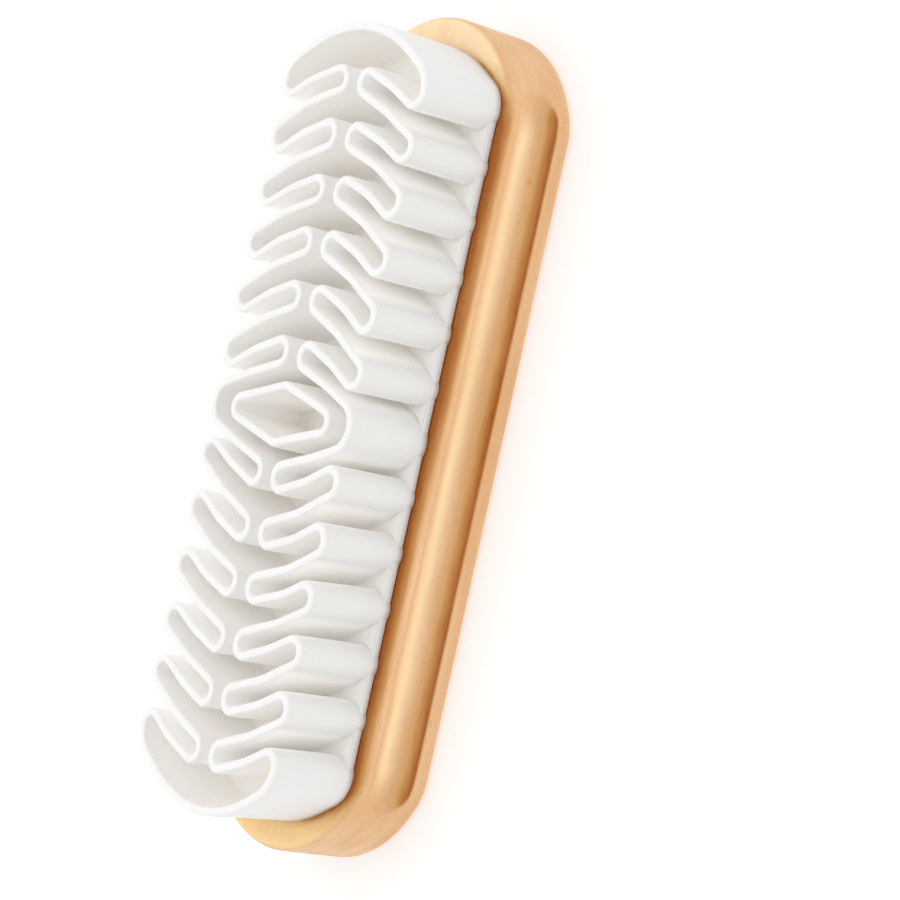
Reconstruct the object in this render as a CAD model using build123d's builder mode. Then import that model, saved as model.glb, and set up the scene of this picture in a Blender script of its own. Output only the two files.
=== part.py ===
from build123d import *

import math
import os

# Suede brush, lying on the flat back of its wooden block with the rubber tips up.
# Millimetres. X runs along the brush, Y across it, Z up out of the block.
# The origin is on the flat back, under the middle of the block.

# wooden block
block_length = 150.0
block_width = 46.0
block_thickness = 15.0
block_end_radius = 24.2
block_end_turn = 60.0  # degrees that each half of the end arc turns
block_corner_radius = 12.0
block_face_round = 1.5  # rounding round the face that carries the rubber
block_back_round = 1.2

# finger groove along each long side of the block
groove_radius = 5.6
groove_depth = 2.6
groove_length = 111.0  # between the centres of the groove's round ends
groove_height = 7.9  # of the groove's centre line above the flat back
groove_lip_round = 2.6  # soft lip on the side towards the rubber
groove_run_out = 0.05  # the lip's curve ends this far outside the block's side

# rubber, measured to the middle of its wall
rubber_height = 17.0  # from the block's face to the tips
wall_thickness = 1.65
rubber_length = 137.8
rubber_width = 40.2
rubber_end_radius = 27.0
rubber_end_turn = 32.0
rubber_corner_radius = 6.0
rim_round = 0.5

# sheet that carries the wall and the ring, and the glue under it
sheet_thickness = 1.5
sheet_setback = 0.35  # of the sheet's straight sides behind the outer faces of the lobes
glue_thickness = 0.2
glue_inset = 1.0

# pleats: slots that run in from both long sides, towards a hollow spine
slots_per_quarter = 6
slot_pitch = 9.7
first_slot = 11.35  # from the middle of the brush to the first slot's inner end
slot_width = 4.45
spine_half_width = 2.05
slot_bend = 11.5  # distance from the spine at which a slot turns
slot_lean_inner = 3.3  # how far the slot leans back from its inner end to its bend
slot_lean_outer = 7.9  # and from its inner end to its mouth
slot_end_radius = 2.1
slot_bend_radius = 16.0
lobe_radius = 2.3

# wide lobe in the middle, and the ring that stands in it
middle_lobe_half_width = 3.0
middle_lobe_bend = 6.3
middle_lobe_radius = 4.2
ring_length = 10.5  # along the brush, from corner to corner
ring_width = 27.8
ring_end_half_width = 1.55
ring_end_radius = 2.0
ring_corner_radius = 2.5

sheet_bottom = block_thickness + glue_thickness
sheet_top = sheet_bottom + sheet_thickness
wall_height = block_thickness + rubber_height - sheet_top


def end_quarter(length, width, end_radius, turn, corner_radius):
    """Corners (x, y, radius) of one quarter of a bar with bulging ends, from its side to its end."""
    half_turn = math.radians(turn / 2)
    whole_turn = math.radians(turn)
    reach = end_radius * math.tan(half_turn)
    tip = (length / 2, reach, end_radius)
    arc_end_x = length / 2 - end_radius * (1 - math.cos(whole_turn))
    arc_end_y = end_radius * math.sin(whole_turn)
    run = (width / 2 - arc_end_y) / math.cos(whole_turn)
    side = (arc_end_x - run * math.sin(whole_turn), width / 2, corner_radius)
    return [side, tip]


def pleat_quarter():
    """Corners of the wall's middle line from the middle lobe to the end of the brush, where x and y are positive."""
    side_y = rubber_width / 2
    half_slot = slot_width / 2
    corners = [
        (middle_lobe_half_width, side_y, middle_lobe_radius),
        (middle_lobe_bend, slot_bend, slot_bend_radius),
    ]
    for slot in range(slots_per_quarter):
        inner_x = first_slot + slot * slot_pitch
        bend_x = inner_x - slot_lean_inner
        mouth_x = inner_x - slot_lean_outer
        if slot > 0:
            corners.append((mouth_x - half_slot, side_y, lobe_radius))
            corners.append((bend_x - half_slot, slot_bend, slot_bend_radius))
        corners.append((inner_x - half_slot, spine_half_width, slot_end_radius))
        corners.append((inner_x + half_slot, spine_half_width, slot_end_radius))
        corners.append((bend_x + half_slot, slot_bend, slot_bend_radius))
        corners.append((mouth_x + half_slot, side_y, lobe_radius))
    corners += end_quarter(
        rubber_length, rubber_width, rubber_end_radius, rubber_end_turn, rubber_corner_radius
    )
    return corners


def mirrored(quarter):
    """The whole closed outline, from the corners of the quarter where x and y are positive."""
    right = quarter + [(x, -y, r) for x, y, r in reversed(quarter) if y > 0]
    return right + [(-x, y, r) for x, y, r in reversed(right) if x > 0]


def unit(start, end):
    run = (end[0] - start[0], end[1] - start[1])
    size = math.hypot(run[0], run[1])
    return run[0] / size, run[1] / size


def turn_of(corners, k):
    """Directions before and after a corner, and half the angle that it turns."""
    x, y, radius = corners[k]
    before = unit(corners[k - 1], (x, y))
    after = unit((x, y), corners[(k + 1) % len(corners)])
    cosine = before[0] * after[0] + before[1] * after[1]
    return before, after, math.acos(max(-1.0, min(1.0, cosine))) / 2


def eased(corners):
    """The same outline with each radius kept small enough for the sides that it joins."""
    reaches = []
    for k, (x, y, radius) in enumerate(corners):
        reaches.append(radius * math.tan(turn_of(corners, k)[2]))
    shares = []
    for k, corner in enumerate(corners):
        following = (k + 1) % len(corners)
        side = math.dist(corner[:2], corners[following][:2])
        shares.append(min(1.0, side / (reaches[k] + reaches[following])))
    return [(x, y, r * min(shares[k - 1], shares[k])) for k, (x, y, r) in enumerate(corners)]


def moved(corners, outwards):
    """The same clockwise outline moved outwards by a distance, with its radii kept concentric."""
    result = []
    for k, (x, y, radius) in enumerate(corners):
        before, after, half_turn = turn_of(corners, k)
        turns_in = before[0] * after[1] < before[1] * after[0]
        stretch = outwards / (1 + math.cos(2 * half_turn))
        new_x = x - (before[1] + after[1]) * stretch
        new_y = y + (before[0] + after[0]) * stretch
        result.append((new_x, new_y, radius + outwards if turns_in else radius - outwards))
    return result


def rounded_outline(corners):
    """Adds the lines and arcs of a closed outline to the BuildLine block that calls it."""
    ends = []
    for k, (x, y, radius) in enumerate(corners):
        before, after, half_turn = turn_of(corners, k)
        reach = radius * math.tan(half_turn)
        start = (x - before[0] * reach, y - before[1] * reach)
        stop = (x + after[0] * reach, y + after[1] * reach)
        inward = unit((x, y), ((start[0] + stop[0]) / 2, (start[1] + stop[1]) / 2))
        rise = radius / math.cos(half_turn) - radius
        middle = (x + inward[0] * rise, y + inward[1] * rise)
        ends.append((start, middle, stop))
    for k, (start, middle, stop) in enumerate(ends):
        ThreePointArc(start, middle, stop)
        following = ends[(k + 1) % len(ends)][0]
        if math.dist(stop, following) > 1e-5:
            Line(stop, following)


block_corners = eased(
    mirrored(
        end_quarter(
            block_length, block_width, block_end_radius, block_end_turn, block_corner_radius
        )
    )
)
envelope_corners = eased(
    mirrored(
        end_quarter(
            rubber_length, rubber_width, rubber_end_radius, rubber_end_turn, rubber_corner_radius
        )
    )
)
sheet_corners = moved(envelope_corners, wall_thickness / 2 - sheet_setback)
glue_corners = moved(sheet_corners, -glue_inset)
pleat_corners = eased(mirrored(pleat_quarter()))
wall_outer_corners = moved(pleat_corners, wall_thickness / 2)
ring_corners = eased(
    mirrored(
        [
            (ring_end_half_width, ring_width / 2, ring_end_radius),
            (ring_length / 2, 0, ring_corner_radius),
        ]
    )
)

# The groove's section, from its axis outwards. The axis stands outside the block's side.
groove_axis = block_width / 2 + groove_radius - groove_depth
lip_offset = groove_radius - groove_depth - groove_run_out
lip_centre = lip_offset + groove_lip_round
lip_rise = math.sqrt((groove_radius + groove_lip_round) ** 2 - lip_centre**2)
lip_share = groove_radius / (groove_radius + groove_lip_round)
groove_top = groove_height + groove_radius + groove_lip_round

with BuildPart() as groove_cutter:
    with BuildSketch(Plane.YZ.offset(groove_length / 2)) as groove_section:
        with BuildLine():
            cove = ThreePointArc(
                (0, groove_height - groove_radius),
                (groove_radius, groove_height),
                (lip_centre * lip_share, groove_height + lip_rise * lip_share),
            )
            TangentArc(
                cove @ 1,
                (lip_offset, groove_height + lip_rise),
                tangent=cove % 1,
            )
            Polyline(
                (lip_offset, groove_height + lip_rise),
                (lip_offset, groove_top),
                (0, groove_top),
                (0, groove_height - groove_radius),
            )
        make_face()
    revolve(axis=Axis((groove_length / 2, 0, 0), (0, 0, -1)), revolution_arc=180)
    extrude(groove_section.sketch, amount=-groove_length / 2)
    mirror(about=Plane.XZ)
    mirror(about=Plane.YZ)

with BuildPart() as wooden_block:
    with BuildSketch(Plane.XY):
        with BuildLine():
            rounded_outline(block_corners)
        make_face()
    extrude(amount=block_thickness)
    fillet(wooden_block.faces().sort_by(Axis.Z)[-1].edges(), radius=block_face_round)
    fillet(wooden_block.faces().sort_by(Axis.Z)[0].edges(), radius=block_back_round)
    with Locations((0, -groove_axis, 0), (0, groove_axis, 0)):
        add(groove_cutter.part, mode=Mode.SUBTRACT)

with BuildPart() as glue_film:
    with BuildSketch(Plane.XY.offset(block_thickness)):
        with BuildLine():
            rounded_outline(glue_corners)
        make_face()
    extrude(amount=glue_thickness)

# The sheet also reaches out under each lobe, as far as the lobe's outer face.
with BuildPart() as rubber_sheet:
    with BuildSketch(Plane.XY.offset(sheet_bottom)):
        with BuildLine():
            rounded_outline(sheet_corners)
        make_face()
        with BuildLine():
            rounded_outline(wall_outer_corners)
        make_face()
    extrude(amount=sheet_thickness)

with BuildPart() as pleated_wall:
    with BuildSketch(Plane.XY.offset(sheet_top)):
        with BuildLine():
            rounded_outline(wall_outer_corners)
        make_face()
        with BuildLine():
            rounded_outline(moved(pleat_corners, -wall_thickness / 2))
        make_face(mode=Mode.SUBTRACT)
    extrude(amount=wall_height)
    fillet(pleated_wall.faces().sort_by(Axis.Z)[-1].edges(), radius=rim_round)

with BuildPart() as centre_ring:
    with BuildSketch(Plane.XY.offset(sheet_top)):
        with BuildLine():
            rounded_outline(moved(ring_corners, wall_thickness / 2))
        make_face()
        with BuildLine():
            rounded_outline(moved(ring_corners, -wall_thickness / 2))
        make_face(mode=Mode.SUBTRACT)
    extrude(amount=wall_height)
    fillet(centre_ring.faces().sort_by(Axis.Z)[-1].edges(), radius=rim_round)

pieces = {
    "wooden_block": wooden_block,
    "glue_film": glue_film,
    "rubber_sheet": rubber_sheet,
    "pleated_wall": pleated_wall,
    "centre_ring": centre_ring,
}
os.makedirs("parts", exist_ok=True)
for name, piece in pieces.items():
    piece.part.label = name
    export_step(piece.part, f"parts/{name}.step")
    print(name, round(piece.part.volume), piece.part.bounding_box().size)
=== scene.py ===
import math

import bpy
from mathutils import Matrix, Vector, noise


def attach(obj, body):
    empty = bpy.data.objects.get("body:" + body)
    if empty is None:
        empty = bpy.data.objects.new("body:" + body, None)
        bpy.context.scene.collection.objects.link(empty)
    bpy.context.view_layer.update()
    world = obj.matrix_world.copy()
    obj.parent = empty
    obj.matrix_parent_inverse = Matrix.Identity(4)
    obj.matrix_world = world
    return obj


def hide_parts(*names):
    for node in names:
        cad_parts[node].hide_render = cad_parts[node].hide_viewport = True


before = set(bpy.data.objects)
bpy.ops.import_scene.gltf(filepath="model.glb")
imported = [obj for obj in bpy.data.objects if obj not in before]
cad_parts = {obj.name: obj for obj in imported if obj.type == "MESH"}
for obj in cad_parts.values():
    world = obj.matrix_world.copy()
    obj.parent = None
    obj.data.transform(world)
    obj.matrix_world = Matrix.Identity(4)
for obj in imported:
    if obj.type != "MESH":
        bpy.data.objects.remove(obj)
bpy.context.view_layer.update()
mm = 0.001  # the shapes below are written in millimetres
print("frame loaded:", ", ".join(sorted(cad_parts)))

photoCamera = {
    "lens": 119.6,
    "sensor": 36.0,
    "place": (-0.00227, -0.41826, 0.33590),
    "azimuth": -0.365,
    "elevation": 39.36,
    "turn": 77.332,  # about the line of sight: the brush stands almost upright in the picture
    "nearest": 0.01,
    "farthest": 20.0,
}


def makeCamera(plan):
    azimuth = math.radians(plan["azimuth"])
    elevation = math.radians(plan["elevation"])
    turn = math.radians(plan["turn"])
    ahead = Vector((
        -math.sin(azimuth) * math.cos(elevation),
        math.cos(azimuth) * math.cos(elevation),
        -math.sin(elevation),
    ))
    levelRight = Vector((math.cos(azimuth), math.sin(azimuth), 0))
    levelUp = levelRight.cross(ahead)
    right = levelRight * math.cos(turn) - levelUp * math.sin(turn)
    up = levelRight * math.sin(turn) + levelUp * math.cos(turn)
    axes = Matrix((right, up, -ahead)).transposed().to_4x4()
    lens = bpy.data.cameras.new("photoCamera")
    lens.lens = plan["lens"]
    lens.sensor_width = plan["sensor"]
    lens.clip_start = plan["nearest"]
    lens.clip_end = plan["farthest"]
    camera = bpy.data.objects.new("photoCamera", lens)
    camera.matrix_world = Matrix.Translation(plan["place"]) @ axes
    bpy.context.scene.collection.objects.link(camera)
    bpy.context.scene.camera = camera


makeCamera(photoCamera)
print("camera placed")


def clamp(share):
    return max(0.0, min(1.0, share))


def quarterTurn(steps):
    # the angles of a quarter of a circle, in equal steps
    return [math.radians(90 * n / steps) for n in range(steps + 1)]


# an outline is a closed list of corners (x, y, radius), clockwise seen from above
def barQuarter(length, width, endRadius, endTurn, cornerRadius):
    # one quarter of a bar with bulging ends, from its side to its end
    halfTurn = math.radians(endTurn / 2)
    wholeTurn = math.radians(endTurn)
    arcEndX = length / 2 - endRadius * (1 - math.cos(wholeTurn))
    arcEndY = endRadius * math.sin(wholeTurn)
    run = (width / 2 - arcEndY) / math.cos(wholeTurn)
    return [
        (arcEndX - run * math.sin(wholeTurn), width / 2, cornerRadius),
        (length / 2, endRadius * math.tan(halfTurn), endRadius),
    ]


def wholeOutline(quarter):
    right = quarter + [(x, -y, r) for x, y, r in reversed(quarter) if y > 0]
    return right + [(-x, y, r) for x, y, r in reversed(right) if x > 0]


def heading(start, end):
    run = (end[0] - start[0], end[1] - start[1])
    size = math.hypot(*run)
    return run[0] / size, run[1] / size


def cornerTurn(corners, k):
    # headings before and after a corner, and half of the angle between them
    here = corners[k][:2]
    before = heading(corners[k - 1], here)
    after = heading(here, corners[(k + 1) % len(corners)])
    cosine = before[0] * after[0] + before[1] * after[1]
    return before, after, math.acos(max(-1.0, min(1.0, cosine))) / 2


def easeCorners(corners):
    # each radius is kept small enough for the sides that it joins
    reaches = [r * math.tan(cornerTurn(corners, k)[2]) for k, (x, y, r) in enumerate(corners)]
    shares = []
    for k, corner in enumerate(corners):
        following = (k + 1) % len(corners)
        side = math.dist(corner[:2], corners[following][:2])
        shares.append(min(1.0, side / (reaches[k] + reaches[following])))
    return [(x, y, r * min(shares[k - 1], shares[k])) for k, (x, y, r) in enumerate(corners)]


def moveOut(corners, distance):
    moved = []
    for k, (x, y, radius) in enumerate(corners):
        before, after, halfTurn = cornerTurn(corners, k)
        turnsIn = before[0] * after[1] < before[1] * after[0]
        stretch = distance / (1 + math.cos(2 * halfTurn))
        moved.append((
            x - (before[1] + after[1]) * stretch,
            y + (before[0] + after[0]) * stretch,
            radius + distance if turnsIn else radius - distance,
        ))
    return moved


def outlinePoints(corners, lineStep, turnStep):
    # points (x, y) of the rounded outline, each with its outward direction
    touching = 1e-4
    runs = []
    for k, (x, y, radius) in enumerate(corners):
        before, after, halfTurn = cornerTurn(corners, k)
        turnsIn = before[0] * after[1] < before[1] * after[0]
        side = 1 if turnsIn else -1
        reach = radius * math.tan(halfTurn)
        out = (-before[1], before[0])
        centre = (
            x - before[0] * reach - side * radius * out[0],
            y - before[1] * reach - side * radius * out[1],
        )
        count = max(2, math.ceil(2 * halfTurn / math.radians(turnStep)))
        arc = []
        for n in range(count + 1):
            angle = -side * 2 * halfTurn * n / count
            nx = out[0] * math.cos(angle) - out[1] * math.sin(angle)
            ny = out[0] * math.sin(angle) + out[1] * math.cos(angle)
            arc.append((centre[0] + side * radius * nx, centre[1] + side * radius * ny, nx, ny))
        runs.append(arc)
    points = []
    for k, arc in enumerate(runs):
        points += arc
        start, stop = arc[-1], runs[(k + 1) % len(runs)][0]
        length = math.dist(start[:2], stop[:2])
        count = math.ceil(length / lineStep)
        for n in range(1, count):
            share = n / count
            points.append((
                start[0] + (stop[0] - start[0]) * share,
                start[1] + (stop[1] - start[1]) * share,
                start[2],
                start[3],
            ))
        if length < touching:
            points.pop()  # the next arc starts at this point
    return points


def ladder(ring, first):
    # fills a flat ring that is the same on both sides of y = 0 with rungs of four corners
    count = len(ring)
    x, y = ring[0][:2]
    mirrorOfFirst = min(range(count), key=lambda k: math.dist(ring[k][:2], (x, -y)))
    start, stop = (mirrorOfFirst + 1) // 2, mirrorOfFirst // 2
    faces = []
    for k in range(count // 2):
        rung = (start + k, start + k + 1, stop - k - 1, stop - k)
        face = tuple(dict.fromkeys(first + corner % count for corner in rung))
        if len(face) > 2:
            faces.append(face)
    return faces


def closedRings(name, rings, joined):
    # skins rings of the same length, in millimetres; joined links the last ring back to the first
    count = len(rings[0])
    vertices = [Vector(point) * mm for ring in rings for point in ring]
    faces = []
    pairs = len(rings) if joined else len(rings) - 1
    for level in range(pairs):
        low = level * count
        high = ((level + 1) % len(rings)) * count
        for n in range(count):
            m = (n + 1) % count
            faces.append((low + n, high + n, high + m, low + m))
    if not joined:
        faces += ladder(rings[0], 0)
        faces += [tuple(reversed(face)) for face in ladder(rings[-1], count * (len(rings) - 1))]
    mesh = bpy.data.meshes.new(name)
    mesh.from_pydata(vertices, [], faces)
    mesh.validate()
    mesh.shade_smooth()
    piece = bpy.data.objects.new(name, mesh)
    bpy.context.scene.collection.objects.link(piece)
    return piece


rubberPlan = {
    "sheetBottom": 15.2,
    "sheetTop": 16.7,
    "tips": 32.0,
    "wall": 1.65,
    "footRound": 0.5,
    "rimRound": 0.5,
    "length": 137.8,  # this and the next four are of the line round the middle of the wall
    "width": 40.2,
    "endRadius": 27.0,
    "endTurn": 32.0,
    "cornerRadius": 6.0,
    "setback": 0.35,  # of the sheet's straight sides behind the outer faces of the lobes
    "sheetRound": 0.35,
    "sheetBevel": 0.1,  # along the lower edge of the sheet
    "footStart": 0.1,  # depth below the sheet's top at which the wall gets its foot's width
    "sheetRim": 1.5,  # width of the ring of faces round the sheet's top and bottom
    "wallPoints": (1.2, 7.5),  # mm between points on a straight run, degrees in a turn
    "sheetPoints": (3.0, 3.0),
    "footSteps": 5,
    "sideSteps": 10,
    "rimSteps": 6,
}

footPlan = {
    "ahead": 1.5,  # mm from the wall at which the room for the foot's curve is also tested
    "least": 1.0,  # room at which the curve starts
    "fade": 1.5,  # mm of room over which it grows to its full width
}

pleatPlan = {
    "slotsPerQuarter": 6,
    "pitch": 9.7,
    "firstSlot": 11.35,
    "slotWidth": 4.45,
    "spine": 2.05,
    "bend": 11.5,
    "leanInner": 3.3,
    "leanOuter": 7.9,
    "slotEndRadius": 2.1,
    "bendRadius": 16.0,
    "lobeRadius": 2.3,
    "middleLobe": (3.0, 6.3, 4.2),  # half width at the side, half width at the bend, radius
}

ringPlan = {
    "length": 10.5,
    "width": 27.8,
    "endHalfWidth": 1.55,
    "endRadius": 2.0,
    "cornerRadius": 2.5,
}

flexPlan = {
    "swayX": 0.75,  # uneven lean of the lobes at the tips, in mm
    "swayY": 0.35,
    "swayStops": 24.0,  # mm from the middle at which the lean across the brush would end
    "curve": 1.6,  # power of the height with which the lean grows
    "grain": 14.0,  # mm over which the lean changes
    "grainAcross": 0.6,  # it changes less fast across the brush
    "rimDip": 0.10,  # mm by which the rims are uneven in height
    "dipGrain": 2.3,  # it changes faster than the lean
    "lowLean": 0.45,  # mm by which the lobes of one half lean outwards
    "lowLeanStarts": 12.0,  # mm from the middle
    "lowLeanGrows": 20.0,  # mm over which it reaches its full size
    "drawIn": 0.004,  # share by which the tips draw in towards the middle
    "placesInNoise": ((3.1, 7.7, 0.4), (9.3, 1.9, 5.2), (5.5, 0.3, 8.8)),  # sways and dip
}

# painted shade on the rubber: greyer outsides, tips and sheet edge, and darker hollows
rubberTones = {
    "tips": 0.6,  # how far the tips get the painted grey shade of the lobes' outsides
    "tipFade": 0.3,  # mm
    "paintedShadeWithin": 2.8,  # mm from the outermost line of the wall
    "paintedShadeFade": 2.3,
    "hollowShadeOnSheet": 0.3,
    "hollowShadeInPleats": 0.0,  # on the walls, from the sheet up
    "hollowShadeInRing": 0.45,
    "hollowShadeHeight": 4.0,  # mm
    "hollowShadeRoom": 1.0,  # mm from the outermost line at which the painted shade starts
    "hollowShadeFade": 2.0,
    "footHeight": 1.2,  # mm over which the sheet's painted shade goes on up the walls
    "footRoom": 0.4,
    "footFade": 0.8,
}


def pleatQuarter(plan):
    sideY = rubberPlan["width"] / 2
    half = plan["slotWidth"] / 2
    lobeX, lobeBend, lobeRound = plan["middleLobe"]
    corners = [(lobeX, sideY, lobeRound), (lobeBend, plan["bend"], plan["bendRadius"])]
    for slot in range(plan["slotsPerQuarter"]):
        innerX = plan["firstSlot"] + slot * plan["pitch"]
        bendX = innerX - plan["leanInner"]
        mouthX = innerX - plan["leanOuter"]
        if slot > 0:
            corners.append((mouthX - half, sideY, plan["lobeRadius"]))
            corners.append((bendX - half, plan["bend"], plan["bendRadius"]))
        corners.append((innerX - half, plan["spine"], plan["slotEndRadius"]))
        corners.append((innerX + half, plan["spine"], plan["slotEndRadius"]))
        corners.append((bendX + half, plan["bend"], plan["bendRadius"]))
        corners.append((mouthX + half, sideY, plan["lobeRadius"]))
    return corners + rubberEnd()


def rubberEnd():
    plan = rubberPlan
    return barQuarter(
        plan["length"], plan["width"], plan["endRadius"], plan["endTurn"], plan["cornerRadius"]
    )


def wallSide(plan):
    # one side of the wall from its foot to the middle of the rim:
    # (offset from the middle line, width of the foot's curve there, height above the sheet)
    foot, rim, steps = plan["footRound"], plan["rimRound"], plan["sideSteps"]
    half = plan["wall"] / 2
    side = [(half, foot, plan["sheetBottom"] - plan["sheetTop"]), (half, foot, -plan["footStart"])]
    for angle in quarterTurn(plan["footSteps"]):
        side.append((half, foot * (1 - math.sin(angle)), foot * (1 - math.cos(angle))))
    top = plan["tips"] - plan["sheetTop"] - rim
    side += [(half, 0, foot + (top - foot) * n / steps) for n in range(1, steps)]
    for angle in quarterTurn(plan["rimSteps"]):
        side.append((half - rim + rim * math.cos(angle), 0, top + rim * math.sin(angle)))
    return side


def flexed(x, y, height):
    # soft rubber: the pleats lean a little, each its own way, and more towards the tips
    plan = flexPlan
    share = max(0.0, height) / (rubberPlan["tips"] - rubberPlan["sheetTop"])
    spot = Vector((x, y * plan["grainAcross"], 0)) / plan["grain"]
    lean = share ** plan["curve"]
    forX, forY, forDip = (Vector(place) for place in plan["placesInNoise"])
    swayX = noise.noise(spot + forX) * plan["swayX"] * lean
    swayY = noise.noise(spot + forY) * plan["swayY"] * lean
    lowHalf = clamp((-x - plan["lowLeanStarts"]) / plan["lowLeanGrows"])
    swayX -= plan["lowLean"] * lowHalf * lean
    dip = (0.5 + 0.5 * noise.noise(spot * plan["dipGrain"] + forDip)) * plan["rimDip"]
    return (
        x + swayX,
        y * (1 - plan["drawIn"] * share) + swayY * (1 - abs(y) / plan["swayStops"]),
        height - dip * share,
    )


def makeWall(name, corners, hollowShadeDepth):
    line = outlinePoints(corners, *rubberPlan["wallPoints"])
    outer = wallSide(rubberPlan)
    inner = [(-offset, -curve, height) for offset, curve, height in reversed(outer)]
    rings = []
    # painted shade: grey on the outsides and tips, darker low in the hollows
    shares = {"paintedRubberShade": [], "paintedHollowShade": []}
    for offset, curve, height in outer + inner:
        ring = []
        for x, y, nx, ny in line:
            away = offset + curve * footShare(x, y, nx, ny, offset)
            px, py, h = flexed(x + nx * away, y + ny * away, height)
            ring.append((px, py, rubberPlan["sheetTop"] + h))
            room = roomToEdge(x + nx * away, y + ny * away)
            shares["paintedRubberShade"].append(paintedRubberShadeShare(room, offset, height))
            shares["paintedHollowShade"].append(paintedHollowShadeShare(room, height, hollowShadeDepth))
        rings.append(ring)
    wall = closedRings(name, rings, joined=True)
    storeShares(wall, shares)
    return wall


def storeShares(piece, shares, domain="POINT"):
    for name, values in shares.items():
        piece.data.attributes.new(name, "FLOAT", domain).data.foreach_set("value", values)


def paintedRubberShadeShare(room, offset, height):
    # 0 to 1: painted shade, greyer rubber on the outsides of the lobes and on the tips
    tones = rubberTones
    top = rubberPlan["tips"] - rubberPlan["sheetTop"] - rubberPlan["rimRound"]
    tip = clamp((height - top) / tones["tipFade"])
    side = clamp((tones["paintedShadeWithin"] - room) / tones["paintedShadeFade"]) if offset > 0 else 0.0
    return side + (tones["tips"] - side) * tip


def paintedHollowShadeShare(room, height, depth):
    # 0 to 1: painted shade, darker rubber low down in the hollows, away from the outsides of the
    #         lobes
    tones = rubberTones
    low = clamp(1 - height / tones["hollowShadeHeight"])
    low *= depth * clamp((room - tones["hollowShadeRoom"]) / tones["hollowShadeFade"])
    foot = clamp(1 - height / tones["footHeight"])
    foot *= clamp((room - tones["footRoom"]) / tones["footFade"])
    return low + (tones["hollowShadeOnSheet"] - low) * foot


def footShare(x, y, nx, ny, offset):
    # the foot's curve fades out where the wall's outer face stands at the sheet's edge
    if offset < 0:
        return 1.0
    plan = footPlan
    ahead = roomToEdge(x + nx * plan["ahead"], y + ny * plan["ahead"])
    room = min(roomToEdge(x, y), ahead)
    return clamp((room - plan["least"]) / plan["fade"])


def roomToEdge(x, y):
    # how far a point is inside the wall's outermost line
    plan = rubberPlan
    sideRoom = plan["width"] / 2 - abs(y)
    arcCentre = plan["length"] / 2 - plan["endRadius"]
    endRoom = plan["endRadius"] - math.hypot(max(0.0, abs(x) - arcCentre), y)
    return min(sideRoom, endRoom)


def makeSheet(name):
    plan = rubberPlan
    corners = easeCorners(wholeOutline(rubberEnd()))
    corners = moveOut(corners, plan["wall"] / 2 - plan["setback"])
    line = outlinePoints(corners, *plan["sheetPoints"])
    edge, bottom, bevel = plan["sheetRound"], plan["sheetBottom"], plan["sheetBevel"]
    # the section is a list of (distance outwards, height)
    section = [(-plan["sheetRim"], bottom), (-bevel, bottom), (0, bottom + bevel)]
    for angle in quarterTurn(plan["footSteps"]):
        section.append((
            -edge * (1 - math.cos(angle)),
            plan["sheetTop"] - edge + edge * math.sin(angle),
        ))
    section.append((-plan["sheetRim"], plan["sheetTop"]))
    rings = [[(x + nx * o, y + ny * o, z) for x, y, nx, ny in line] for o, z in section]
    sheet = closedRings(name, rings, joined=False)
    edgeFaces = len(line) * (len(section) - 2)
    topFaces = len(sheet.data.polygons) - edgeFaces
    # painted shade: the sheet's edge grey as the lobes' outsides, its top dark as the hollows
    storeShares(sheet, {
        "paintedRubberShade": [1.0] * edgeFaces + [0.0] * topFaces,
        "paintedHollowShade": [0.0] * edgeFaces + [rubberTones["hollowShadeOnSheet"]] * topFaces,
    }, "FACE")
    return sheet


pleatCorners = easeCorners(wholeOutline(pleatQuarter(pleatPlan)))
pleatedWall = makeWall("pleatedWall", pleatCorners, rubberTones["hollowShadeInPleats"])
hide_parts("pleated_wall")
print("pleated wall:", len(pleatedWall.data.vertices), "points")

ringQuarter = [
    (ringPlan["endHalfWidth"], ringPlan["width"] / 2, ringPlan["endRadius"]),
    (ringPlan["length"] / 2, 0, ringPlan["cornerRadius"]),
]
ringCorners = easeCorners(wholeOutline(ringQuarter))
centreRing = makeWall("centreRing", ringCorners, rubberTones["hollowShadeInRing"])
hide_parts("centre_ring")
rubberSheet = makeSheet("rubberSheet")
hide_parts("rubber_sheet")
print("ring and sheet made")


blockPlan = {
    "length": 150.0,
    "width": 46.0,
    "thickness": 15.0,
    "endRadius": 24.2,
    "endTurn": 60.0,
    "cornerRadius": 12.0,
    "faceRound": 1.5,
    "backRound": 1.2,
    "outlinePoints": (0.5, 1.5),  # mm between points on a straight run, degrees in a turn
    "backRim": 1.5,  # width of the ring of faces round the back
    "backSteps": 6,
    "lowBands": ((2.6, 4), (4.2, 14)),  # height at which a band of rings ends, number of rings
    "highBand": 28,  # rings from there up to the rounding of the face
    "faceSteps": 7,
    "faceRings": 9,  # rings of points on the face, which carry its painted light and shade
    "faceRingWidth": 0.25,
    "paintedFaceLight": 0.88,  # share of the painted light, a paler tone, that the face shows
    "paintedFaceLightFrom": 14.3,  # height
    "paintedFaceLightFade": 0.5,
}

groovePlan = {
    "radius": 5.6,
    "depth": 2.6,
    "length": 119.0,  # between the centres of its round ends, along the block's outline
    "height": 7.9,
    "lipRound": 2.6,
    "runOut": 0.05,  # the lip's curve ends this far outside the block's side
    "edgeSoftness": 0.28,  # mm of depth over which the groove's edge is rounded
}

# painted highlight: a paler band along the groove
paintedHighlightPlan = {
    "height": 8.7,
    "spread": 1.7,
    "length": 127.0,
    "fade": 8.0,  # mm at each end
    "fullDepth": 0.8,  # depth of the groove from which the wear is full
    "strength": 0.82,
}

# painted shade: darker wood along the rubber, on the ledge beside it and low in the finger grooves
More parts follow.
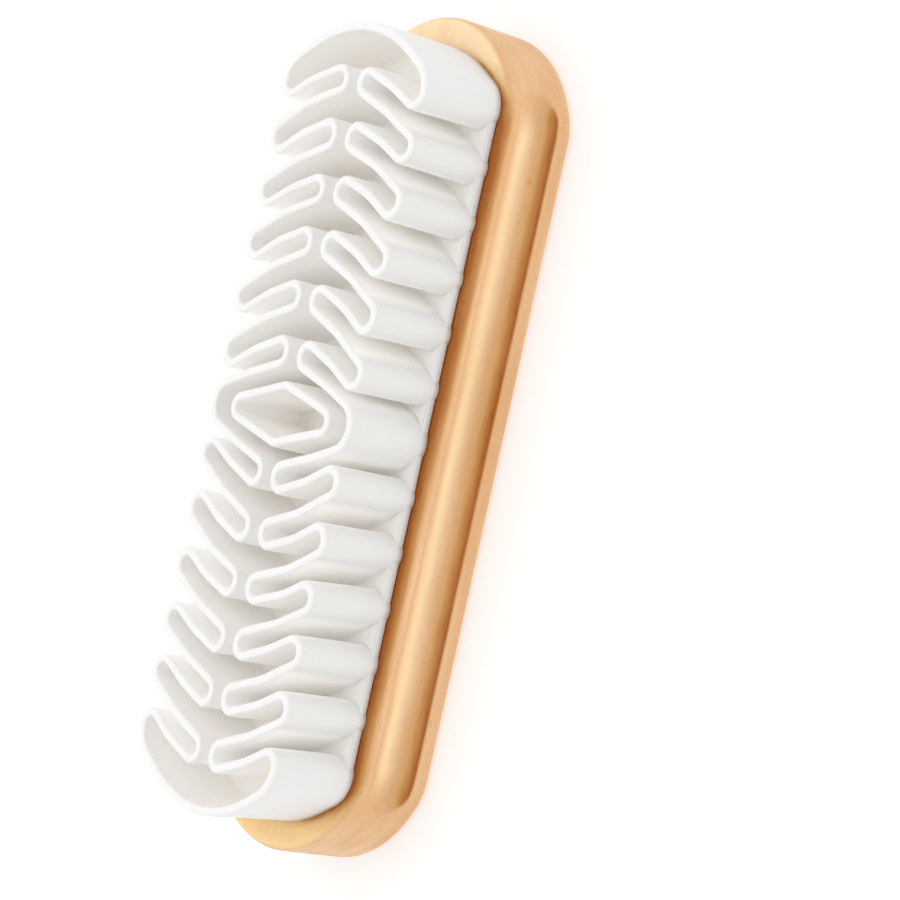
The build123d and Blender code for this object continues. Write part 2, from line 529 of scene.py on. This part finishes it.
paintedShadePlan = {
    "rubberEdge": 0.6,  # mm from the outermost line of the wall
    "halfBlend": 15.0,  # mm each side of the middle over which one end's values become the other's
    "jointLine": 0.8,  # mm, width of the dark line along the rubber
    "jointDark": 0.5,
    # the next five have a value for each end of the brush, the low end in the picture first
    "ledgeDark": (0.86, 0.98),
    "ledgeStop": (71.0, 68.0),  # mm from the middle at which it has faded out
    "ledgeEnds": (0.10, 0.05),  # share of the ledge's grime that goes on round the end
    "ledgeSpread": (4.6, 5.0),  # mm from the rubber at which it ends
    "ledgeFoot": (13.5, 13.0),  # height at which it ends on the block's side
    "ledgeEndFade": 12.0,  # mm along the brush
    "ledgeFade": 1.6,  # mm across it
    "grooveTop": 6.35,  # height at which the groove's darker wood ends
    "grooveFull": 3.5,  # height below which it is darkest
    "grooveCurve": 1.5,  # power with which it darkens in between
    "grooveFullDepth": 0.3,  # depth of the groove from which it is as dark as it gets
    "grooveDark": 0.95,
}


def grooveReach(z):
    # how far the groove reaches from its axis at a height, through the cove and its soft lip
    plan = groovePlan
    radius, lip = plan["radius"], plan["lipRound"]
    lipCentre = radius - plan["depth"] - plan["runOut"] + lip
    rise = math.sqrt((radius + lip) ** 2 - lipCentre ** 2)
    up = z - plan["height"]
    if up > rise:
        return 0.0
    if up > rise * radius / (radius + lip):
        return lipCentre - math.sqrt(max(0.0, lip ** 2 - (up - rise) ** 2))
    return math.sqrt(max(0.0, radius ** 2 - up ** 2))


def runFromMiddle(x, y, nx, ny, sideCorner):
    # distance from the middle of a long side, along the side and on round its corner
    cornerX, sideY, cornerRadius = sideCorner
    wholeAngle = math.radians(90 - blockPlan["endTurn"])
    sideEnd = cornerX - cornerRadius * math.tan(wholeAngle / 2)
    if abs(x) <= sideEnd:
        return abs(x)
    angle = min(math.atan2(abs(nx), abs(ny)), wholeAngle)
    run = sideEnd + cornerRadius * angle
    endX = sideEnd + cornerRadius * math.sin(wholeAngle)
    endY = sideY - cornerRadius * (1 - math.cos(wholeAngle))
    if abs(x) > endX:  # a little past the corner the straight distance is near enough
        run += math.dist((abs(x), abs(y)), (endX, endY))
    return run


def grooveDepth(run, z):
    # depth of the groove below a point of the block's side, with a softened edge
    plan = groovePlan
    past = max(0.0, run - plan["length"] / 2)
    inside = grooveReach(z) ** 2 - past ** 2
    soft = plan["edgeSoftness"]
    if inside <= 0:
        return 0.0
    depth = math.sqrt(inside) - (plan["radius"] - plan["depth"])
    if depth <= -soft:
        return 0.0
    if depth >= soft:
        return depth
    return (depth + soft) ** 2 / (4 * soft)


def blockLevels(plan):
    # (height, inset) of each ring of points, from the back to the face
    back, face, top = plan["backRound"], plan["faceRound"], plan["thickness"]
    levels = [(0.0, back + plan["backRim"])]
    for angle in quarterTurn(plan["backSteps"]):
        levels.append((back * (1 - math.cos(angle)), back * (1 - math.sin(angle))))
    start = back
    for stop, count in (*plan["lowBands"], (top - face, plan["highBand"])):
        levels += [(start + (stop - start) * n / count, 0.0) for n in range(1, count + 1)]
        start = stop
    for angle in quarterTurn(plan["faceSteps"])[1:]:
        levels.append((top - face + face * math.sin(angle), face * (1 - math.cos(angle))))
    rings = range(1, plan["faceRings"] + 1)
    return levels + [(top, face + plan["faceRingWidth"] * n) for n in rings]


def paintedWoodShade(x, y, z, depth):
    # 0 to 1: painted shade, darker wood along the rubber's edge and deep in the finger grooves
    plan = paintedShadePlan
    rubber = rubberPlan
    arcCentre = rubber["length"] / 2 - rubber["endRadius"]
    side = abs(y) - rubber["width"] / 2 - plan["rubberEdge"]
    end = math.hypot(max(0.0, abs(x) - arcCentre), y) - rubber["endRadius"] - plan["rubberEdge"]
    away = max(side, end, 0.0)
    upper = clamp((x + plan["halfBlend"]) / (2 * plan["halfBlend"]))
    names = ("ledgeDark", "ledgeStop", "ledgeEnds", "ledgeSpread", "ledgeFoot")
    dark, stop, around, spread, foot = (
        plan[name][0] * (1 - upper) + plan[name][1] * upper for name in names
    )
    alongSide = max(around, min(1.0, (stop - abs(x)) / plan["ledgeEndFade"]))
    above = clamp((z - foot) / (blockPlan["thickness"] - foot))
    joint = math.exp(-(away / plan["jointLine"]) ** 2) * plan["jointDark"]
    ledge = dark * alongSide * clamp((spread - away) / plan["ledgeFade"])
    low = clamp((plan["grooveTop"] - z) / (plan["grooveTop"] - plan["grooveFull"]))
    inGroove = min(1.0, depth / plan["grooveFullDepth"])
    groove = low ** plan["grooveCurve"] * inGroove * plan["grooveDark"]
    return min(1.0, (joint + ledge) * above + groove)


def paintedHighlightShare(run, z, depth):
    # 0 to 1: painted highlight, a paler band in the groove
    plan = paintedHighlightPlan
    along = clamp((plan["length"] / 2 - run) / plan["fade"])
    rubbed = math.exp(-((z - plan["height"]) / plan["spread"]) ** 2)
    return rubbed * along * min(1.0, depth / plan["fullDepth"]) * plan["strength"]


def makeBlock(plan):
    quarter = barQuarter(
        plan["length"], plan["width"], plan["endRadius"], plan["endTurn"], plan["cornerRadius"]
    )
    corners = easeCorners(wholeOutline(quarter))
    line = outlinePoints(corners, *plan["outlinePoints"])
    rings = []
    shares = {"face": [], "paintedHighlight": [], "paintedShade": []}
    for z, inset in blockLevels(plan):
        # painted light: the face is paler than the sides, as a lit face
        paintedFaceLightShare = clamp((z - plan["paintedFaceLightFrom"]) / plan["paintedFaceLightFade"]) * plan["paintedFaceLight"]
        ring = []
        for x, y, nx, ny in line:
            run = runFromMiddle(x, y, nx, ny, corners[0])
            depth = grooveDepth(run, z)
            inward = inset + depth
            point = (x - nx * inward, y - ny * inward, z)
            ring.append(point)
            shares["face"].append(paintedFaceLightShare)
            # painted highlight
            shares["paintedHighlight"].append(paintedHighlightShare(run, z, depth))
            # painted shade
            shares["paintedShade"].append(paintedWoodShade(*point, depth))
        rings.append(ring)
    block = closedRings("beechBlock", rings, joined=False)
    storeShares(block, shares)
    return block


beechBlock = makeBlock(blockPlan)
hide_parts("wooden_block")
print("block:", len(beechBlock.data.vertices), "points")


def nodeMaterial(name):
    material = bpy.data.materials.new(name)
    material.use_nodes = True
    tree = material.node_tree
    tree.nodes.clear()
    output = tree.nodes.new("ShaderNodeOutputMaterial")
    shader = tree.nodes.new("ShaderNodeBsdfPrincipled")
    tree.links.new(shader.outputs["BSDF"], output.inputs["Surface"])
    place = tree.nodes.new("ShaderNodeTexCoord").outputs["Object"]
    return material, tree, shader, place


def stretched(tree, place, scale, shift=(0, 0, 0), rotation=(0, 0, 0)):
    mapping = tree.nodes.new("ShaderNodeMapping")
    mapping.inputs["Location"].default_value = shift
    mapping.inputs["Rotation"].default_value = rotation
    mapping.inputs["Scale"].default_value = scale
    tree.links.new(place, mapping.inputs["Vector"])
    return mapping.outputs["Vector"]


def noiseAt(tree, place, repeats, detail=2.0, roughness=0.5):
    # repeats: how often the noise changes in a metre along, across and up the brush
    node = tree.nodes.new("ShaderNodeTexNoise")
    node.inputs["Scale"].default_value = 1.0
    node.inputs["Detail"].default_value = detail
    node.inputs["Roughness"].default_value = roughness
    tree.links.new(stretched(tree, place, repeats), node.inputs["Vector"])
    return node.outputs["Fac"]


def remap(tree, value, low, high, toLow=0.0, toHigh=1.0):
    node = tree.nodes.new("ShaderNodeMapRange")
    node.inputs["From Min"].default_value = low
    node.inputs["From Max"].default_value = high
    node.inputs["To Min"].default_value = toLow
    node.inputs["To Max"].default_value = toHigh
    tree.links.new(value, node.inputs["Value"])
    return node.outputs["Result"]


def blendColours(tree, share, first, second):
    node = tree.nodes.new("ShaderNodeMix")
    node.data_type = "RGBA"
    tree.links.new(share, node.inputs["Factor"])
    for socket, colour in ((node.inputs["A"], first), (node.inputs["B"], second)):
        if isinstance(colour, tuple):
            socket.default_value = (*colour, 1.0)
        else:
            tree.links.new(colour, socket)
    return node.outputs["Result"]


def shareOf(tree, attribute):
    # the tone that the piece's points or faces carry under this name
    node = tree.nodes.new("ShaderNodeAttribute")
    node.attribute_name = attribute
    return node.outputs["Fac"]


def addBump(tree, shader, height, distance, strength):
    bump = tree.nodes.new("ShaderNodeBump")
    bump.inputs["Distance"].default_value = distance
    bump.inputs["Strength"].default_value = strength
    tree.links.new(height, bump.inputs["Height"])
    tree.links.new(bump.outputs["Normal"], shader.inputs["Normal"])


beechLook = {
    "paleLow": (0.785, 0.520, 0.310),  # at the low end in the picture
    "paleHigh": (0.770, 0.500, 0.270),
    "warm": (0.71, 0.425, 0.21),
    "ring": (0.70, 0.40, 0.185),
    "fleck": (0.50, 0.26, 0.11),
    "pore": (0.60, 0.32, 0.14),
    # the next two are the painted light of the face, then the painted highlight of the groove,
    # then two tones of painted shade
    "paintedFaceLightLow": (1.00, 0.70, 0.33),
    "paintedFaceLightHigh": (1.00, 0.76, 0.48),
    "paintedHighlightTone": (1.00, 0.76, 0.45),
    "paintedShadeAmber": (0.67, 0.36, 0.12),
    "paintedShade": (0.39, 0.11, 0.012),
    "roughness": (0.42, 0.58),
    "roughSpan": (0.3, 0.7),  # values of the fibres at which the roughness is least and most
    "sheen": 0.25,
    "uneven": (0.85, 1.15),  # how patchy the painted highlight, the painted shade and the paler painted face are
    "unevenSpan": (0.30, 0.70),  # values of the blotches at which they are least and most so
    "ends": (-0.07, 0.07),  # metres from the middle at which the low and high colours are pure
    "bump": (0.00006, 0.5),  # depth in metres, strength
}

beechGrain = {
    # repeats in a metre along, across and up the block, detail, roughness of the noise
    "fibres": ((30, 1400, 1400), 3.0, 0.6),
    "clouds": ((40, 160, 160), 2.0, 0.5),
    "flecks": ((420, 2400, 2400), 1.0, 0.5),
    "pores": ((1500, 3400, 3400), 2.0, 0.6),
    "blotches": ((90, 420, 420), 3.0, 0.65),
}

beechRings = {
    "repeats": (8, 95, 95),
    "fromHeart": (0, 1.2, 4.6),  # of the block from the middle of the tree, in repeats
    "tilt": (0, 0.05, 0.03),  # radians
    "Scale": 1.0,
    "Distortion": 3.0,
    "Detail": 2.0,
    "Detail Scale": 0.4,
}

beechLayers = (
    # pattern, value at which it starts, value at which it is full, strength, colour
    ("clouds", 0.35, 0.65, 1.0, "warm"),
    ("rings", 0.3, 1.0, 0.35, "ring"),
    ("fibres", 0.5, 0.8, 0.45, "ring"),
    ("flecks", 0.68, 0.78, 0.75, "fleck"),
    ("pores", 0.52, 0.74, 0.4, "pore"),
)


def growthRings(tree, place):
    plan = beechRings
    rings = tree.nodes.new("ShaderNodeTexWave")
    rings.wave_type = "RINGS"
    rings.rings_direction = "X"
    for name in ("Scale", "Distortion", "Detail", "Detail Scale"):
        rings.inputs[name].default_value = plan[name]
    around = stretched(tree, place, plan["repeats"], plan["fromHeart"], plan["tilt"])
    tree.links.new(around, rings.inputs["Vector"])
    return rings.outputs["Fac"]


def beechMaterial(look):
    material, tree, shader, place = nodeMaterial("beech")
    grain = {name: noiseAt(tree, place, *plan) for name, plan in beechGrain.items()}
    grain["rings"] = growthRings(tree, place)
    along = tree.nodes.new("ShaderNodeSeparateXYZ")
    tree.links.new(place, along.inputs["Vector"])
    endShare = remap(tree, along.outputs["X"], *look["ends"])
    colour = blendColours(tree, endShare, look["paleLow"], look["paleHigh"])
    for pattern, start, full, strength, tone in beechLayers:
        share = remap(tree, grain[pattern], start, full, 0.0, strength)
        colour = blendColours(tree, share, colour, look[tone])
    uneven = remap(tree, grain["blotches"], *look["unevenSpan"], *look["uneven"])
    # painted light: the paler tone of the face
    face = blendColours(tree, endShare, look["paintedFaceLightLow"], look["paintedFaceLightHigh"])
    tones = (
        # attribute, share at which the tone starts, share at which it is full, tone
        # painted light on the face
        ("face", 0.0, 1.0, face),
        # painted highlight in the groove
        ("paintedHighlight", 0.0, 1.0, look["paintedHighlightTone"]),
        # painted shade by the rubber and low in the grooves, in two tones
        ("paintedShade", 0.0, 0.55, look["paintedShadeAmber"]),
        ("paintedShade", 0.35, 1.0, look["paintedShade"]),
    )
    for attribute, start, full, tone in tones:
        patchy = tree.nodes.new("ShaderNodeMath")
        patchy.operation = "MULTIPLY"
        patchy.use_clamp = True
        tree.links.new(shareOf(tree, attribute), patchy.inputs[0])
        tree.links.new(uneven, patchy.inputs[1])
        colour = blendColours(tree, remap(tree, patchy.outputs[0], start, full), colour, tone)
    tree.links.new(colour, shader.inputs["Base Color"])
    rough = remap(tree, grain["fibres"], *look["roughSpan"], *look["roughness"])
    tree.links.new(rough, shader.inputs["Roughness"])
    shader.inputs["Specular IOR Level"].default_value = look["sheen"]
    addBump(tree, shader, grain["fibres"], *look["bump"])
    return material


rubberLook = {
    "clean": (0.975, 0.968, 0.955),
    "cloudy": (0.965, 0.952, 0.930),
    "clouds": ((110, 110, 70), 3.0),  # repeats in a metre, detail
    "cloudSpan": (0.35, 0.7),  # values of the clouds at which the rubber is clean and cloudy
    # the next two are painted shade: grey on the outsides and tips, darker in the hollows
    "paintedRubberShade": (0.75, 0.75, 0.735),
    "paintedHollowShade": (0.74, 0.70, 0.645),
    "speckle": ((2600, 2600, 2600), 2.0),
    "roughness": (0.46, 0.60),
    "roughSpan": (0.3, 0.7),
    "bump": (0.00002, 0.35),  # depth in metres, strength
}


def rubberMaterial(look):
    material, tree, shader, place = nodeMaterial("whiteRubber")
    cloudy = remap(tree, noiseAt(tree, place, *look["clouds"]), *look["cloudSpan"])
    colour = blendColours(tree, cloudy, look["clean"], look["cloudy"])
    # painted shade on the outsides and tips, and low in the hollows
    for attribute in ("paintedRubberShade", "paintedHollowShade"):
        colour = blendColours(tree, shareOf(tree, attribute), colour, look[attribute])
    tree.links.new(colour, shader.inputs["Base Color"])
    speckle = noiseAt(tree, place, *look["speckle"])
    rough = remap(tree, speckle, *look["roughSpan"], *look["roughness"])
    tree.links.new(rough, shader.inputs["Roughness"])
    addBump(tree, shader, speckle, *look["bump"])
    return material


glueLook = {
    "clear": (0.82, 0.72, 0.46),
    "yellowed": (0.70, 0.56, 0.30),
    "clouds": ((400, 400, 400), 2.0),  # repeats in a metre, detail
    "cloudSpan": (0.3, 0.7),
    "roughness": 0.3,
}


def glueMaterial(look):
    material, tree, shader, place = nodeMaterial("driedGlue")
    yellow = remap(tree, noiseAt(tree, place, *look["clouds"]), *look["cloudSpan"])
    colour = blendColours(tree, yellow, look["clear"], look["yellowed"])
    tree.links.new(colour, shader.inputs["Base Color"])
    shader.inputs["Roughness"].default_value = look["roughness"]
    return material


whiteRubber = rubberMaterial(rubberLook)
for piece in (pleatedWall, centreRing, rubberSheet):
    piece.data.materials.append(whiteRubber)
    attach(piece, "root")
beechBlock.data.materials.append(beechMaterial(beechLook))
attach(beechBlock, "root")
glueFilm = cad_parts["glue_film"]
glueFilm.data.materials.clear()
glueFilm.data.materials.append(glueMaterial(glueLook))
print("materials made")


stagePlan = {
    "floorSize": 6.0,
    "floorColour": (0.88, 0.88, 0.88),
    "shownColour": (0.99, 0.99, 0.99),  # of the floor as the camera sees its shadows
    "floorGlow": 0.52,  # the floor is a lit table
    "shadowShare": 0.50,  # how much of the floor's own shading the camera sees
    "brightSide": (0.0, 0.08, 0.997),  # direction of the bright part of the room
    "brightRoom": 1.53,
    "dimRoom": 0.30,
    "roomBlend": (0.0, 0.75),  # cosines from the bright side at which the room is dim and bright
    "floorDrop": 0.0002,  # keeps the floor clear of the block's back
    "lampAim": (0, 0, 0.015),  # the point that the lamps face
    "bounces": 12,  # light reaches deep between the pleats only after many bounces
}

lampPlan = [
    # name, direction towards the lamp, distance, size, watts
    ("keyLamp", (0.15, 0.15, 1.0), 0.9, 0.6, 1.1),
]


def seenRays(tree):
    # 1 for the rays that see the background: straight, in a reflection or through something
    rays = tree.nodes.new("ShaderNodeLightPath")
    seen = rays.outputs["Is Camera Ray"]
    for other in ("Is Glossy Ray", "Is Transmission Ray"):
        either = tree.nodes.new("ShaderNodeMath")
        either.operation = "MAXIMUM"
        tree.links.new(seen, either.inputs[0])
        tree.links.new(rays.outputs[other], either.inputs[1])
        seen = either.outputs[0]
    return seen


def makeStage(plan):
    size = plan["floorSize"] / 2
    mesh = bpy.data.meshes.new("paleFloor")
    corners = [(-size, -size, 0), (size, -size, 0), (size, size, 0), (-size, size, 0)]
    mesh.from_pydata(corners, [], [(0, 1, 2, 3)])
    floor = bpy.data.objects.new("paleFloor", mesh)
    bpy.context.scene.collection.objects.link(floor)
    material = bpy.data.materials.new("paleFloor")
    material.use_nodes = True
    tree = material.node_tree
    tree.nodes.clear()
    output = tree.nodes.new("ShaderNodeOutputMaterial")
    matt = tree.nodes.new("ShaderNodeBsdfDiffuse")
    matt.inputs["Color"].default_value = (*plan["floorColour"], 1)
    glow = tree.nodes.new("ShaderNodeEmission")
    glow.inputs["Strength"].default_value = plan["floorGlow"]
    table = tree.nodes.new("ShaderNodeAddShader")
    tree.links.new(matt.outputs["BSDF"], table.inputs[0])
    tree.links.new(glow.outputs["Emission"], table.inputs[1])
    white = tree.nodes.new("ShaderNodeEmission")
    shadows = tree.nodes.new("ShaderNodeBsdfDiffuse")
    shadows.inputs["Color"].default_value = (*plan["shownColour"], 1)
    shown = tree.nodes.new("ShaderNodeMixShader")
    shown.inputs["Fac"].default_value = plan["shadowShare"]
    tree.links.new(white.outputs["Emission"], shown.inputs[1])
    tree.links.new(shadows.outputs["BSDF"], shown.inputs[2])
    mix = tree.nodes.new("ShaderNodeMixShader")
    tree.links.new(seenRays(tree), mix.inputs["Fac"])
    tree.links.new(table.outputs["Shader"], mix.inputs[1])
    tree.links.new(shown.outputs["Shader"], mix.inputs[2])
    tree.links.new(mix.outputs["Shader"], output.inputs["Surface"])
    mesh.materials.append(material)
    floor.location.z = -plan["floorDrop"]


def makeWorld(plan):
    world = bpy.data.worlds.new("softRoom")
    bpy.context.scene.world = world
    world.use_nodes = True
    tree = world.node_tree
    tree.nodes.clear()
    output = tree.nodes.new("ShaderNodeOutputWorld")
    room = tree.nodes.new("ShaderNodeBackground")
    around = tree.nodes.new("ShaderNodeTexCoord")
    facing = tree.nodes.new("ShaderNodeVectorMath")
    facing.operation = "DOT_PRODUCT"
    facing.inputs[1].default_value = plan["brightSide"]
    tree.links.new(around.outputs["Generated"], facing.inputs[0])
    levels = (*plan["roomBlend"], plan["dimRoom"], plan["brightRoom"])
    strength = remap(tree, facing.outputs["Value"], *levels)
    tree.links.new(strength, room.inputs["Strength"])
    white = tree.nodes.new("ShaderNodeBackground")
    mix = tree.nodes.new("ShaderNodeMixShader")
    tree.links.new(seenRays(tree), mix.inputs["Fac"])
    tree.links.new(room.outputs["Background"], mix.inputs[1])
    tree.links.new(white.outputs["Background"], mix.inputs[2])
    tree.links.new(mix.outputs["Shader"], output.inputs["Surface"])


def makeLamp(name, towards, distance, size, watts):
    light = bpy.data.lights.new(name, "AREA")
    light.shape = "DISK"
    light.size = size
    light.energy = watts
    lamp = bpy.data.objects.new(name, light)
    aim = Vector(towards).normalized()
    lamp.location = aim * distance + Vector(stagePlan["lampAim"])
    lamp.rotation_mode = "QUATERNION"
    lamp.rotation_quaternion = aim.to_track_quat("Z", "Y")
    bpy.context.scene.collection.objects.link(lamp)


makeStage(stagePlan)
makeWorld(stagePlan)
for lamp in lampPlan:
    makeLamp(*lamp)
bpy.context.scene.view_settings.view_transform = "Standard"
bpy.context.scene.cycles.diffuse_bounces = stagePlan["bounces"]
print("stage lit")
